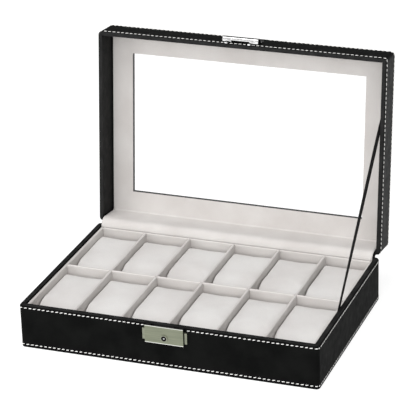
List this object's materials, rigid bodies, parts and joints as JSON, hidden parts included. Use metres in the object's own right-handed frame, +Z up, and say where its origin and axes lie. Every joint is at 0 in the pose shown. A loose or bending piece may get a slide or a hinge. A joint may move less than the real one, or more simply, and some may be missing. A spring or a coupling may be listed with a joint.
{
  "type": "watch box",
  "caption": "Leather-covered watch box with a glass-windowed hinged lid, a divided velvet lining, lift-out watch pillows, a sprung press lock with key barrel and a ribbon stay.",
  "frame": {"origin": "centre of the base's underside, on the plane it stands on", "axes": "+X to the box's right seen from the front, +Y towards the hinge at the back, +Z up; stored with the lid standing open"},
  "size_m": [0.3, 0.2583, 0.2509],
  "materials": {
    "black_leather": "fine-grained imitation leather, satin",
    "velvet": "short pale grey velvet",
    "pillow_velvet": "soft pale grey velvet over wadding",
    "board": "raw fibreboard",
    "underside_paper": "flat black lining sheet",
    "black_ribbon": "woven black ribbon",
    "nickel": "satin nickel plate",
    "bright_metal": "polished plate",
    "spring_steel": "bright wire",
    "window_glass": "clear"
  },
  "bodies": {
    "base": {"base_bottom_board": "board", "base_front_board": "board", "base_back_board": "board", "base_left_board": "board", "base_right_board": "board", "base_leather": "black_leather", "base_underside_sheet": "underside_paper", "lining_floor": "velvet", "lining_front": "velvet", "lining_back": "velvet", "lining_left": "velvet", "lining_right": "velvet", "divider_long": "velvet", "divider_cross_1": "velvet", "divider_cross_2": "velvet", "divider_cross_3": "velvet", "divider_cross_4": "velvet", "divider_cross_5": "velvet", "lock_housing": "nickel", "lock_rivets": "nickel", "lock_spring_left": "spring_steel", "lock_spring_right": "spring_steel", "hinge_leather": "black_leather", "hinge_velvet": "velvet", "stay_ribbon": "black_ribbon"},
    "lid": {"lid_front_board": "board", "lid_back_board": "board", "lid_left_board": "board", "lid_right_board": "board", "lid_top_board": "board", "lid_leather": "black_leather", "lid_glass": "window_glass", "lid_velvet_panel": "velvet", "hasp": "bright_metal", "hasp_rivets": "bright_metal"},
    "slide_plate": {"lock_slider": "nickel", "lock_bezel": "bright_metal"},
    "key_barrel": {"lock_barrel": "bright_metal", "lock_cam": "nickel"},
    "pillow_front_1": {"pillow_front_1": "pillow_velvet"},
    "pillow_front_2": {"pillow_front_2": "pillow_velvet"},
    "pillow_front_3": {"pillow_front_3": "pillow_velvet"},
    "pillow_front_4": {"pillow_front_4": "pillow_velvet"},
    "pillow_front_5": {"pillow_front_5": "pillow_velvet"},
    "pillow_front_6": {"pillow_front_6": "pillow_velvet"},
    "pillow_back_1": {"pillow_back_1": "pillow_velvet"},
    "pillow_back_2": {"pillow_back_2": "pillow_velvet"},
    "pillow_back_3": {"pillow_back_3": "pillow_velvet"},
    "pillow_back_4": {"pillow_back_4": "pillow_velvet"},
    "pillow_back_5": {"pillow_back_5": "pillow_velvet"},
    "pillow_back_6": {"pillow_back_6": "pillow_velvet"}
  },
  "joints": [
    {"name": "lid_hinge", "type": "hinge", "parent": "base", "child": "lid", "pos_m": [0, 0.1011, 0.0454], "axis": [-1, 0, 0], "range_deg": [-96, 0], "deforming": ["hinge_leather", "hinge_velvet", "stay_ribbon"]},
    {"name": "lock_press", "type": "slide", "parent": "base", "child": "slide_plate", "axis": [0, 0, -1], "range_m": [0, 0.003], "stiffness_N_per_m": 600, "springref_m": -0.002, "deforming": ["lock_spring_left", "lock_spring_right"]},
    {"name": "lock_turn", "type": "hinge", "parent": "slide_plate", "child": "key_barrel", "pos_m": [0, -0.1025, 0.0332], "axis": [0, -1, 0], "range_deg": [-90, 0]},
    {"name": "pillow_front_1_lift", "type": "slide", "parent": "base", "child": "pillow_front_1", "axis": [0, 0, 1], "range_m": [0, 0.06]},
    {"name": "pillow_front_2_lift", "type": "slide", "parent": "base", "child": "pillow_front_2", "axis": [0, 0, 1], "range_m": [0, 0.06]},
    {"name": "pillow_front_3_lift", "type": "slide", "parent": "base", "child": "pillow_front_3", "axis": [0, 0, 1], "range_m": [0, 0.06]},
    {"name": "pillow_front_4_lift", "type": "slide", "parent": "base", "child": "pillow_front_4", "axis": [0, 0, 1], "range_m": [0, 0.06]},
    {"name": "pillow_front_5_lift", "type": "slide", "parent": "base", "child": "pillow_front_5", "axis": [0, 0, 1], "range_m": [0, 0.06]},
    {"name": "pillow_front_6_lift", "type": "slide", "parent": "base", "child": "pillow_front_6", "axis": [0, 0, 1], "range_m": [0, 0.06]},
    {"name": "pillow_back_1_lift", "type": "slide", "parent": "base", "child": "pillow_back_1", "axis": [0, 0, 1], "range_m": [0, 0.06]},
    {"name": "pillow_back_2_lift", "type": "slide", "parent": "base", "child": "pillow_back_2", "axis": [0, 0, 1], "range_m": [0, 0.06]},
    {"name": "pillow_back_3_lift", "type": "slide", "parent": "base", "child": "pillow_back_3", "axis": [0, 0, 1], "range_m": [0, 0.06]},
    {"name": "pillow_back_4_lift", "type": "slide", "parent": "base", "child": "pillow_back_4", "axis": [0, 0, 1], "range_m": [0, 0.06]},
    {"name": "pillow_back_5_lift", "type": "slide", "parent": "base", "child": "pillow_back_5", "axis": [0, 0, 1], "range_m": [0, 0.06]},
    {"name": "pillow_back_6_lift", "type": "slide", "parent": "base", "child": "pillow_back_6", "axis": [0, 0, 1], "range_m": [0, 0.06]}
  ]
}
